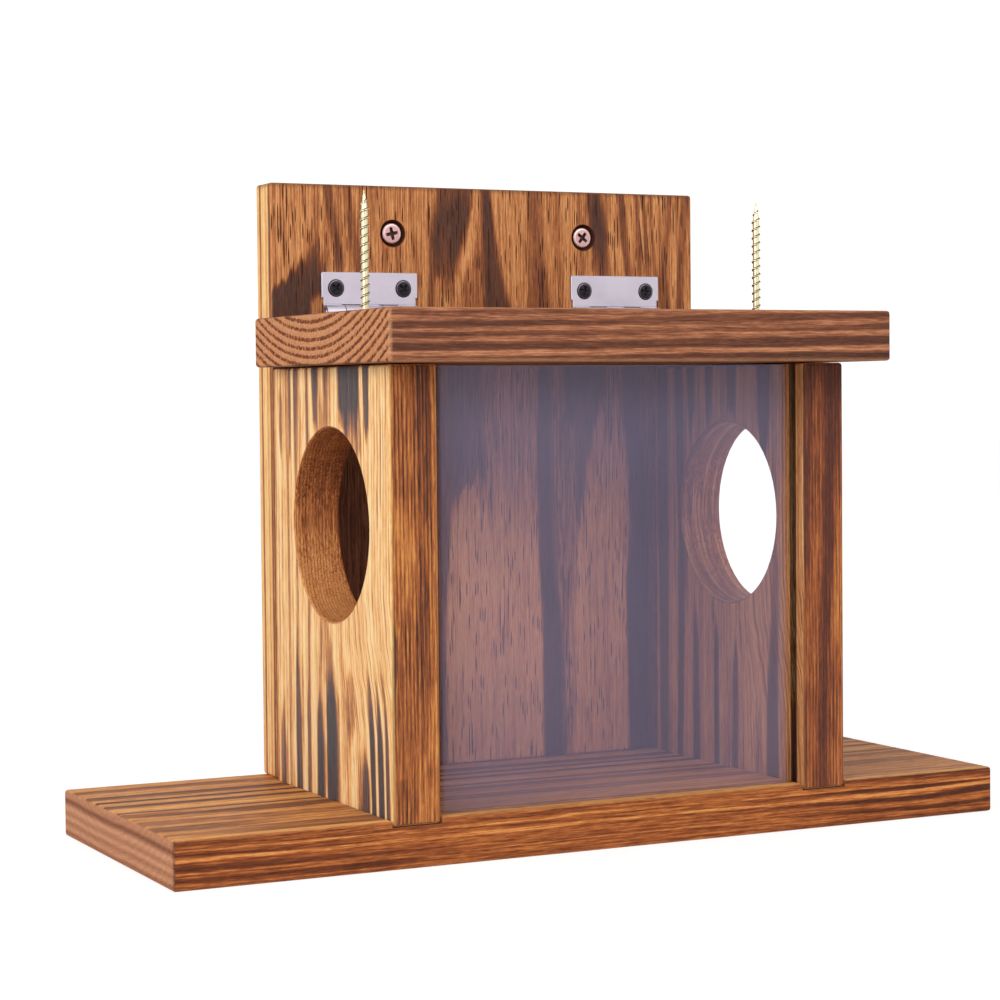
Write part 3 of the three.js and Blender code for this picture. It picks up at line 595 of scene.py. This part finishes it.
inside_flames = [
    [(10, 1, 20, 0.05), (75, 1, 20, 0.05), (95, 1.5, 18.8, 0.08), (108, 1.8, 17.5, 0.15),
     (116, 2, 15, 0.25), (124, 4, 8, 0.35), (134, 6, 0, 0.4)],
    [(96, 9, 9, 0.12), (112, 9, 11, 0.3), (135, 9, 12.5, 0.4), (165, 9, 13, 0.48)],
    [(10, 33, 7, 0.4), (75, 31, 6.5, 0.42), (100, 29.5, 6, 0.46), (130, 29, 6, 0.52), (165, 29, 6, 0.58)],
    [(10, 46, 12, 0.1), (75, 46, 12, 0.12), (100, 46.5, 11.2, 0.15), (120, 48, 9.5, 0.25),
     (140, 50, 7, 0.36), (155, 52, 5, 0.45), (165, 52, 4, 0.5)],
    [(10, 25.4, 4, 0.9), (70, 24.4, 3.8, 0.92), (84, 23, 3.2, 0.92), (100, 22, 2.8, 0.9),
     (130, 21.6, 2.8, 0.88), (165, 21.8, 2.4, 0.84)],
    [(128, 38, 0, 0.6), (142, 38.5, 5, 0.8), (152, 39, 8, 0.9), (165, 39, 8.6, 0.92)],
    [(10, 62, 5, 0.95), (80, 61.4, 4.6, 0.95), (100, 62.5, 3.4, 0.92), (122, 60.8, 3.4, 0.9),
     (145, 58.6, 3.2, 0.9), (165, 58.2, 3, 0.9)],
]
back = Pine("pine_back_torched", Z, (12, -60, 0), 2.4, 41, drift=1.4, fibre_length=14)
back.face(
    [(252, 206, 138), (234, 176, 110), (196, 127, 78), (134, 83, 56), (84, 58, 48)],
    Y, {180: [
        (43, 0.15), (45.6, 0.75), (46.6, 0.1), (48.5, 0.3), (49.5, 0.05), (52.5, 0.05), (53.6, 0.75),
        (55, 0.1), (56.6, 0.2), (58, 0.5),
    ]},
    ring=0.12, fibre=0.3,
)
rear_streaks = [
    [(10, -62, 5, 0.6), (70, -60, 7, 0.75), (110, -58, 3, 0.6), (140, -57, 0, 0.4)],
    [(90, -30, 0, 0.5), (130, -31, 4, 0.7), (170, -30, 8, 0.85), (228, -33, 9, 0.8)],
    [(10, 4, 9, 0.8), (60, 2, 6, 0.7), (110, 0, 3, 0.55), (150, -1, 0, 0.4)],
    [(60, 36, 0, 0.5), (110, 38, 5, 0.7), (160, 40, 3, 0.6), (228, 43, 6, 0.75)],
    [(10, 70, 6, 0.7), (90, 68, 3, 0.6), (130, 67, 0, 0.5)],
]
back.face(
    [(226, 156, 92), (196, 124, 70), (152, 90, 52), (106, 62, 42), (68, 46, 38)],
    X, 0.24, rear_streaks, ring=0.24, fibre=0.5, strand=0.34, flicker=0.4, soft=4, ragged=7,
    where=back.facing(Y, back_high[Y], -1),
)
board_face = back.facing(Y, back_low[Y], 1)
back.face(
    [(228, 162, 104), (202, 132, 80), (160, 96, 58), (116, 69, 48), (86, 58, 48)],
    X, 0.2, flames, ring=0.18, fibre=0.52, strand=0.3, flicker=0.44, soft=4, ragged=2.4, where=board_face,
)
# Below the lid the face inside the box takes a much darker base darkness and darker tones: painted shade
# for the dim light inside the box.
below_lid = back.rising(back.axes[Z], left_high[Z] + 0.2, left_high[Z] + 0.8, 1, 0)
back.face(
    [(232, 160, 104), (206, 134, 84), (144, 88, 54), (98, 56, 36), (66, 38, 28)],
    X, 0.7, inside_flames, ring=0.08, fibre=0.4, strand=0.26, flicker=0.4, soft=3,
    where=back.times(board_face, below_lid),
)
back.dashes(X, 0.9, 13, 0.26, 4.7, board_face)
back.dashes(X, 1.1, 30, 0.14, 9.3, board_face)
screw_place, screw_hole = (38.85, 0, 209.7), 4.8
around = back.vector("SUBTRACT", back.vector("ABSOLUTE", back.place), screw_place)
from_screw = back.vector("LENGTH", back.vector("MULTIPLY", around, (1, 0, 1)))
back.paint(back.rising(from_screw, screw_hole, screw_hole + 0.35, 1, 0), (66, 26, 17), 0.95)
top_burn = back.rising(back.axes[Z], back_high[Z] - 2.2, back_high[Z] - 0.2, 0, 0.6)
back.paint(top_burn, (92, 56, 36))
dress(back.done((68, 30, 18)), "back_board")


# Lid
# A flatsawn pine board, heart side up, with sawn ends that show its growth rings. It is hinged to the back
# board and hangs over the front and both sides.
lid_low, lid_high = corners("lid_board")
lid = Pine("pine_lid_torched", X, (0, -13, 276), 2.95, 61, late=0.44)
lid.face(
    [(206, 144, 100), (186, 118, 70), (144, 76, 30), (104, 46, 8)],
    Y, 0.06, ring=1.25, fibre=0.5, strand=0.1, flicker=0.5, dots=0.6,
)
lid_top = {
    -90: [
        (-78, 0.2), (-70, 0.6), (-60, 0.2), (-44, 0.7), (-30, 0.15), (-14, 0.4), (0, 0.75), (14, 0.2),
        (28, 0.6), (40, 0.3),
    ],
    0: [
        (-78, 0.3), (-66, 0.2), (-52, 0.75), (-40, 0.2), (-24, 0.65), (-8, 0.2), (8, 0.5), (20, 0.15),
        (33, 0.7), (40, 0.3),
    ],
    90: [
        (-78, 0.2), (-68, 0.7), (-55, 0.2), (-36, 0.5), (-22, 0.2), (-10, 0.7), (6, 0.2), (22, 0.6),
        (40, 0.2),
    ],
}
lid.face(
    [(200, 140, 92), (172, 114, 72), (136, 88, 58), (96, 62, 46), (60, 46, 42)],
    Y, lid_top, ring=0.3, fibre=0.3,
    where=lid.number("ADD", lid.facing(Z, lid_high[Z], -1), lid.facing(Z, lid_low[Z], 1)),
)
lid_front_streaks = [
    [(-96, 166, 1.6, 0.8), (-40, 166.6, 1.5, 0.75), (0, 167.4, 1.6, 0.72), (96, 168.7, 1.6, 0.85)],
    [(-96, 169.8, 0.9, 0.75), (-30, 170.8, 0.8, 0.6), (0, 171.4, 0.7, 0.6), (50, 172, 0.8, 0.6),
     (96, 173.6, 1.2, 0.8)],
    [(-96, 172.8, 1, 0.75), (-40, 173.8, 0.9, 0.65), (0, 175.2, 1, 0.65), (96, 177.3, 1.1, 0.7)],
    [(-96, 162.2, 0.9, 0.6), (-20, 162.6, 0.9, 0.6), (20, 163.2, 1.3, 0.8), (96, 163.2, 1.7, 0.92)],
    [(-96, 176.6, 0.9, 0.6), (-30, 178, 0.9, 0.5), (10, 179, 0, 0.4)],
    [(-96, 164.2, 0.7, 0.25), (-40, 164.6, 0.8, 0.25), (30, 165.2, 0.7, 0.2), (96, 166.4, 0.7, 0.15)],
    [(-96, 168.3, 0.6, 0.3), (0, 169.8, 0.8, 0.3), (96, 171.4, 0.9, 0.2)],
]
lid.face(
    [(200, 138, 98), (174, 112, 78), (136, 82, 57), (102, 60, 43), (74, 44, 34)],
    Z, 0.32, lid_front_streaks, ring=0.1, fibre=0.5, strand=0.26, flicker=0.4, soft=2.6, ragged=8,
    where=lid.facing(Y, lid_low[Y], 1),
)
# Painted highlights along the lid's front bottom arris and its front left arris.
lid.paint(lid.edge((Y, lid_low[Y]), (Z, lid_low[Z]), 1.1), (176, 124, 88), 0.5)
lid.paint(lid.edge((X, lid_low[X]), (Y, lid_low[Y]), 1.1), (196, 144, 106), 0.5)
dress(lid.done(), "lid_board")


# Window pane
# A clear acrylic sheet, 2.4 mm thick, that slides down in the grooves of the side panels. A faint violet
# tint runs over it and stops short of its edges.
pane_high = corners("window_pane")[1]
pane = Finish("acrylic_violet")
tint_end = pane_high[X] - 6.6
tinted = pane.rising(pane.number("ABSOLUTE", pane.axes[X]), tint_end - 0.4, tint_end + 0.4, 1, 0)
haze = pane.rising(pane.noise((60, 60, 90), 3)[0], 0.3, 0.7, 0.13, 0.155)
# The tint grows denser towards the top: a painted brightening of the veil that makes up for the shade under
# the lid.
denser_top = pane.rising(pane.axes[Z], 110, pane_high[Z], 0, 0.05)
pane.shade("Base Color", tint(166, 160, 196))
pane.shade("Roughness", 0.12)
pane.shade("IOR", 1.49)
pane.shade("Alpha", pane.times(tinted, pane.number("ADD", haze, denser_top)))
dress(pane.material, "window_pane")


# Hinges
# Two plated butt hinges. A leaf is a sheet with two countersunk holes whose strips roll round the pin, and
# the other leaf is its fellow, turned end for end and folded down on to the lid.
plating = Finish("nickel_plate")
cloud = plating.noise((9, 9, 9), 5, 3)[0]
plating_tones = [(0.3, tint(186, 179, 191)), (0.7, tint(202, 195, 206))]
plating.shade("Base Color", plating.ramp(cloud, plating_tones, "LINEAR"))
plating.shade("Metallic", 1)
plating.shade("Roughness", plating.rising(cloud, 0.2, 0.8, 0.42, 0.55))
plating.bump(plating.noise((5, 0.25, 0.25), 6)[0], 0.02)

leaf_width, leaf_reach, leaf_thick, leaf_corner, leaf_arris = 37.2, 14.3, 1, 0.6, 0.12
tab_reach, tab_inset = 5.2, 0.7
barrel, bore, pin_radius = 2.5, 1.5, 1.2
knuckles, run_gap = 5, 0.3
hole_apart, hole_reach, hole_wide, hole_narrow = 26.2, 8.6, 3.2, 2.25


def outlined(shape, points):
    """A closed loop of edges through the points"""
    loop = [shape.verts.new(point) for point in points]
    return loop, [shape.edges.new(pair) for pair in zip(loop, loop[1:] + loop[:1])]


def arc(radius, start, end, steps):
    """Points on an arc, its angles in degrees"""
    turns = [math.radians(start + (end - start) * i / steps) for i in range(steps + 1)]
    return [(radius * math.cos(turn), radius * math.sin(turn)) for turn in turns]


def new_verts(result):
    """The vertices that an operator made"""
    return [part for part in result["geom"] if isinstance(part, bmesh.types.BMVert)]


def lathed(shape, profile, axis, steps):
    """Spins a line through the profile's points once round an axis"""
    points = [shape.verts.new(point) for point in profile]
    line = [shape.edges.new(pair) for pair in zip(points, points[1:])]
    bmesh.ops.spin(
        shape, geom=points + line, cent=(0, 0, 0), axis=axis, angle=2 * math.pi, steps=steps, use_merge=True
    )
    bmesh.ops.remove_doubles(shape, verts=shape.verts, dist=0.001)


def moved_in_mm(shape, name, place, turn, materials, crease=32):
    """The object of a shape made in millimetres, turned and moved to its place, with smooth round faces"""
    bmesh.ops.recalc_face_normals(shape, faces=shape.faces)
    bmesh.ops.transform(shape, matrix=Matrix.Translation(place) @ turn.to_4x4(), verts=shape.verts)
    bmesh.ops.scale(shape, vec=(1 / MM, 1 / MM, 1 / MM), verts=shape.verts)
    mesh = bpy.data.meshes.new(name)
    shape.to_mesh(mesh)
    shape.free()
    mesh.shade_smooth()
    mesh.set_sharp_from_angle(angle=math.radians(crease))
    for material in materials:
        mesh.materials.append(material)
    return placed(name, mesh)


def leaf_shape(first):
    """A leaf with its pin along X at zero; its plate rises and its back faces +Y"""
    shape = bmesh.new()
    half, tab = leaf_width / 2, leaf_width / 2 - tab_inset
    front_face, foot = barrel - leaf_thick, barrel + run_gap
    round_x, round_z = half - leaf_corner, leaf_reach - leaf_corner
    rounding = [(round_x + x, round_z + z) for x, z in arc(leaf_corner, 0, 90, 5)]
    side = [(tab, foot), (tab, tab_reach), (half, tab_reach), *rounding]
    edge = side + [(-x, z) for x, z in reversed(side)]
    rim, edges = outlined(shape, [(x, front_face, z) for x, z in edge])
    hole_centres = (-hole_apart / 2, hole_apart / 2)
    for centre in hole_centres:
        circle = [(centre + x, front_face, hole_reach + z) for x, z in arc(hole_wide, 0, 348.75, 31)]
        edges = edges + outlined(shape, circle)[1]
    sheet = bmesh.ops.triangle_fill(shape, edges=edges, use_beauty=True)["geom"]
    faces = [part for part in sheet if isinstance(part, bmesh.types.BMFace)]
    back_verts = new_verts(bmesh.ops.extrude_face_region(shape, geom=faces, use_keep_orig=True))
    bmesh.ops.translate(shape, vec=(0, leaf_thick, 0), verts=back_verts)
    for vert in back_verts:
        for centre in hole_centres:
            away = Vector((vert.co.x - centre, 0, vert.co.z - hole_reach))
            if abs(away.length - hole_wide) < 0.01:
                drawn = away * (hole_narrow / hole_wide)
                vert.co.x, vert.co.z = centre + drawn.x, hole_reach + drawn.z
    outer = [
        edge for edge in shape.edges
        if set(rim).issuperset(edge.verts) and len(edge.link_faces) == 2
        and abs(edge.link_faces[0].normal.dot(edge.link_faces[1].normal)) < 0.5
    ]
    bmesh.ops.bevel(
        shape, geom=outer, offset=leaf_arris, segments=1, affect="EDGES", profile=0.5, material=-1
    )
    step = (2 * tab + run_gap) / knuckles
    curl = arc(barrel, 0, -306, 34)
    inner_curl = list(reversed(arc(bore, 0, -306, 34)))
    section = [(barrel, foot + 0.2), *curl, *inner_curl, (bore, foot + 0.2)]
    for i in range(first, knuckles, 2):
        start = i * step - tab
        end_face = shape.faces.new(outlined(shape, [(start, y, z) for y, z in section])[0])
        far_verts = new_verts(bmesh.ops.extrude_face_region(shape, geom=[end_face], use_keep_orig=True))
        bmesh.ops.translate(shape, vec=(step - run_gap, 0, 0), verts=far_verts)
    return shape


def pin_shape():
    """A pin along X with eased ends"""
    shape = bmesh.new()
    half, eased = leaf_width / 2 - tab_inset, 0.4
    end = [(half - eased, pin_radius), (half, pin_radius - eased), (half, 0)]
    profile = [(-x, radius) for x, radius in reversed(end)] + end
    lathed(shape, [(x, 0, radius) for x, radius in profile], (1, 0, 0), 32)
    return shape


upright = Matrix.Identity(3)
folded = Matrix(((-1, 0, 0), (0, 0, -1), (0, -1, 0)))
for hand in ("left", "right"):
    pin_low, pin_high = corners(f"hinge_{hand}_pin")
    pin_place = (pin_low + pin_high) / 2
    for part, shape, turn, body in (
        ("back_leaf", leaf_shape(0), upright, "box"),
        ("lid_leaf", leaf_shape(1), folded, "lid"),
        ("pin", pin_shape(), upright, "box"),
    ):
        name = f"hinge_{part}_{hand}"
        piece = moved_in_mm(shape, name, pin_place, turn, [plating.material], crease=18)
        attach(piece, body)
        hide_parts(f"hinge_{hand}_{part}")


# Hinge screws
# Small black wood screws whose flat heads stand a little proud of the leaves. A paler ring runs round
# each head, partly wear and partly a painted highlight, and a cross sunk in its face is painted dark as
# shade.
def coated(name, colour, roughness, metallic=1):
    """A coated metal, a little darker in soft spots"""
    made = Finish(name)
    darker = tuple(light * 0.72 for light in colour[:3]) + (1,)
    made.shade("Base Color", made.mixed(made.noise((1.1, 1.1, 1.1), 9)[0], colour, darker))
    made.shade("Metallic", metallic)
    made.shade("Roughness", roughness)
    return made.material


def screw_shape(
    head, depth, core, thread, pitch, start, length, point, cross, cross_turn, sides=40, turn_steps=28
):
    """A wood screw with its head's face at zero and its point up. The head, core, thread and cross are half
    widths; the thread starts at a height and draws in over the length of the point"""
    shape = bmesh.new()
    neck, cross_depth = start + 0.2, 0.9
    profile = [
        (head * 0.8, 0), (head - 0.3, 0.05), (head, 0.28), (head, 0.42), (core, depth), (core, neck),
        (0, neck),
    ]
    lathed(shape, [(radius, 0, height) for radius, height in profile], (0, 0, 1), sides)
    rim = [edge for edge in shape.edges if edge.is_boundary]
    for face in {face for edge in rim for face in edge.link_faces}:
        face.material_index = 2
    arm, inner = head * 0.62, cross + 0.12
    quarter = [(arm, cross), (inner, inner), (cross, arm)]
    turns = [Matrix.Rotation(math.radians(cross_turn + 90 * i), 2) for i in range(4)]
    cross_outline = [(*(turn @ Vector(spot)), 0) for turn in turns for spot in quarter]
    mouth_edges = outlined(shape, cross_outline)[1]
    bmesh.ops.triangle_fill(shape, edges=rim + mouth_edges, use_beauty=True)
    before = set(shape.faces)
    for vert in new_verts(bmesh.ops.extrude_edge_only(shape, edges=mouth_edges)):
        vert.co = (vert.co.x * 0.6, vert.co.y * 0.6, cross_depth)
    bmesh.ops.holes_fill(shape, edges=[edge for edge in shape.edges if edge.is_boundary], sides=0)
    for face in set(shape.faces) - before:
        face.material_index = 1
    ridge = [(0, core), (0.12, thread), (0.2, thread), (0.34, core), (1, core)]
    row = [shape.verts.new((radius, 0, start + share * pitch)) for share, radius in ridge]
    line = [shape.edges.new(pair) for pair in zip(row, row[1:])]
    before = set(shape.faces)
    steps = round(((length - start) / pitch - 1) * turn_steps)
    bmesh.ops.spin(
        shape, geom=row + line, cent=(0, 0, 0), axis=(0, 0, 1), dvec=(0, 0, pitch / turn_steps),
        angle=2 * math.pi * steps / turn_steps, steps=steps, use_merge=False,
    )
    wound = set(shape.faces) - before
    threaded = list({vert for face in wound for vert in face.verts})
    bmesh.ops.remove_doubles(shape, verts=threaded, dist=0.001)
    wound = [face for face in shape.faces if face not in before]
    for vert in {vert for face in wound for vert in face.verts}:
        taper = min(1, max(0.05, (length - vert.co.z) / point)) ** 0.85
        vert.co.x, vert.co.y = vert.co.x * taper, vert.co.y * taper
    bmesh.ops.holes_fill(shape, edges=[edge for edge in shape.edges if edge.is_boundary], sides=0)
    return shape


def screw_piece(node, drive, shape, materials, name):
    """The screw that stands for a node, its head where the node's is and its point the way it is driven"""
    low, high = corners(node)
    place = (low + high) / 2
    for axis in (X, Y, Z):
        if drive[axis]:
            place[axis] = low[axis] if drive[axis] > 0 else high[axis]
    turn = Vector((0, 0, 1)).rotation_difference(Vector(drive)).to_matrix()
    return moved_in_mm(shape, name, place, turn, materials)


black_metal = coated("black_phosphate", tint(52, 46, 54), 0.34)
# The paler ring round each head: partly wear, partly a painted highlight.
worn_and_highlit_metal = coated("worn_highlit_phosphate", tint(112, 106, 114), 0.3)
# The sunk crosses are painted near black: painted shade in the recesses.
black_cross_shade = coated("black_cross_shade", tint(14, 12, 15), 0.7, 0)
hinge_crosses = {
    "hinge_left_back_screw_1": 40, "hinge_left_back_screw_2": 42,
    "hinge_right_back_screw_1": 14, "hinge_right_back_screw_2": 10,
    "hinge_left_lid_screw_1": 25, "hinge_left_lid_screw_2": 70,
    "hinge_right_lid_screw_1": 5, "hinge_right_lid_screw_2": 52,
}
for node, angle in hinge_crosses.items():
    on_lid = "_lid_" in node
    shape = screw_shape(
        head=3.12, depth=1.7, core=0.9, thread=1.25, pitch=1.3, start=2.2, length=11, point=2.4,
        cross=0.42, cross_turn=angle, sides=32, turn_steps=16,
    )
    drive = (0, 0, -1) if on_lid else (0, 1, 0)
    piece = screw_piece(node, drive, shape, [black_metal, black_cross_shade, worn_and_highlit_metal], f"small_{node}")
    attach(piece, "lid" if on_lid else "box")
    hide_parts(node)


# Mounting screws
# Two pinkish nickel screws, sunk in wide holes in the back board, that go through it and stand out behind.
pink_metal = coated("pink_nickel", tint(214, 168, 166), 0.5)
# The paler ring round each head is a painted highlight.
nickel_rim_highlight = coated("pale_nickel_highlight", tint(234, 208, 204), 0.4)
# The sunk crosses are painted dark brown: painted shade in the recesses.
brown_cross_shade = coated("brown_cross_shade", tint(58, 26, 20), 0.7, 0)
for hand, angle in (("left", 78), ("right", 38)):
    node = f"mounting_screw_{hand}"
    shape = screw_shape(
        head=3.7, depth=2.4, core=1.45, thread=2, pitch=2.2, start=8, length=40, point=7,
        cross=0.54, cross_turn=angle,
    )
    metals = [pink_metal, brown_cross_shade, nickel_rim_highlight]
    piece = screw_piece(node, (0, 1, 0), shape, metals, f"tree_screw_{hand}")
    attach(piece, "box")
    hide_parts(node)


# Food spikes
# Two long yellow-zinc wood screws driven up through the lid, heads flush with its underside. A painted
# shade shows dark under each turn of the thread.
zinc = coated("yellow_zinc_plate", tint(238, 228, 188), 0.34)
zinc_thread_shade = coated("zinc_thread_shade", tint(112, 98, 58), 0.6, 0.4)
for hand in ("left", "right"):
    node = f"food_spike_{hand}"
    spike_low, spike_high = corners(node)
    thread_start = 15
    shape = screw_shape(
        head=3.5, depth=2.3, core=1.15, thread=1.6, pitch=2.8, start=thread_start,
        length=spike_high[Z] - spike_low[Z], point=7, cross=0.45, cross_turn=20, turn_steps=36,
    )
    # The faces that look down under each turn of the thread take the painted shade.
    for face in shape.faces:
        middle = face.calc_center_median()
        if middle.z > thread_start + 0.5 and face.normal.z < -0.35 and middle.xy.length > 0.2:
            face.material_index = 1
    piece = screw_piece(node, (0, 0, 1), shape, [zinc, zinc_thread_shade, zinc], f"lid_spike_{hand}")
    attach(piece, "lid")
    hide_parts(node)


# Assembly screws
# Black wood screws sunk in the back of the back board and the underside of the base, which hold the boards
# together.
for hand in ("left", "right"):
    for node, drive in (
        (f"back_to_side_{hand}_screw_low", (0, -1, 0)), (f"back_to_side_{hand}_screw_high", (0, -1, 0)),
        (f"base_to_side_{hand}_screw_front", (0, 0, 1)), (f"base_to_side_{hand}_screw_back", (0, 0, 1)),
        (f"base_to_back_{hand}_screw", (0, 0, 1)),
    ):
        shape = screw_shape(
            head=3.5, depth=2.3, core=1.25, thread=1.75, pitch=2, start=12, length=35, point=6,
            cross=0.45, cross_turn=len(node) * 13, sides=32, turn_steps=16,
        )
        piece = screw_piece(node, drive, shape, [black_metal, black_cross_shade, worn_and_highlit_metal], f"fixing_{node}")
        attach(piece, "box")
        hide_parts(node)


# Room
# A pale floor under the base, a soft lamp at the left, a weaker one in front and an even sky. The camera
# sees the floor and the sky glow, a little more for each clear layer in front, so that both stay white.
floor_mesh = bpy.data.meshes.new("floor")
floor_sheet = bmesh.new()
bmesh.ops.create_grid(floor_sheet, x_segments=1, y_segments=1, size=6)
floor_sheet.to_mesh(floor_mesh)
floor_sheet.free()
floor = placed("floor", floor_mesh)
pale = bpy.data.materials.new("pale_floor")
pale.use_nodes = True
matt = pale.node_tree.nodes["Principled BSDF"]
matt.inputs["Base Color"].default_value = (0.86, 0.86, 0.86, 1)
matt.inputs["Roughness"].default_value = 0.9
pale_nodes = Nodes(pale.node_tree)
rays = pale_nodes.add("ShaderNodeLightPath").outputs
level = pale_nodes.number("MULTIPLY_ADD", rays["Transparent Depth"], 0.22, 1.24)
glow = pale_nodes.add("ShaderNodeEmission", None, level).outputs[0]
seen = pale_nodes.number("MAXIMUM", rays["Is Camera Ray"], rays["Is Glossy Ray"])
both = pale_nodes.add("ShaderNodeMixShader", pale_nodes.times(seen, 0.65), matt.outputs[0], glow).outputs[0]
pale_nodes.feed(pale.node_tree.nodes["Material Output"].inputs["Surface"], both)
floor_mesh.materials.append(pale)


def soft_lamp(name, at, aim, size, watts):
    """A round soft lamp that faces a place"""
    data = bpy.data.lights.new(name, "AREA")
    data.shape = "DISK"
    data.size = size
    data.energy = watts
    lamp = placed(name, data)
    lamp.location = at
    lamp.rotation_mode = "QUATERNION"
    lamp.rotation_quaternion = (aim - Vector(at)).to_track_quat("-Z", "Y")


box_middle = (cad_box[0] + cad_box[1]) / 2
soft_lamp("lamp_left", (-1.5, -0.75, 0.75), box_middle, 0.9, 14)
soft_lamp("lamp_front", (0.5, -1.8, 1.1), box_middle, 1.2, 9)

world = bpy.data.worlds.new("sky")
world.use_nodes = True
sky = world.node_tree.nodes["Background"]
sky.inputs["Color"].default_value = (1, 1, 1, 1)
sky_nodes = Nodes(world.node_tree)
rays = sky_nodes.add("ShaderNodeLightPath").outputs
seen = sky_nodes.number("MAXIMUM", rays["Is Camera Ray"], rays["Is Glossy Ray"])
seen = sky_nodes.number("MAXIMUM", seen, rays["Is Transmission Ray"])
level = sky_nodes.number("MULTIPLY_ADD", rays["Transparent Depth"], 0.15, 1.08)
strength = sky_nodes.add("ShaderNodeMapRange", seen, None, None, 0.58, level).outputs[0]
sky_nodes.feed(sky.inputs["Strength"], strength)
bpy.context.scene.world = world
bpy.context.scene.view_settings.view_transform = "Standard"
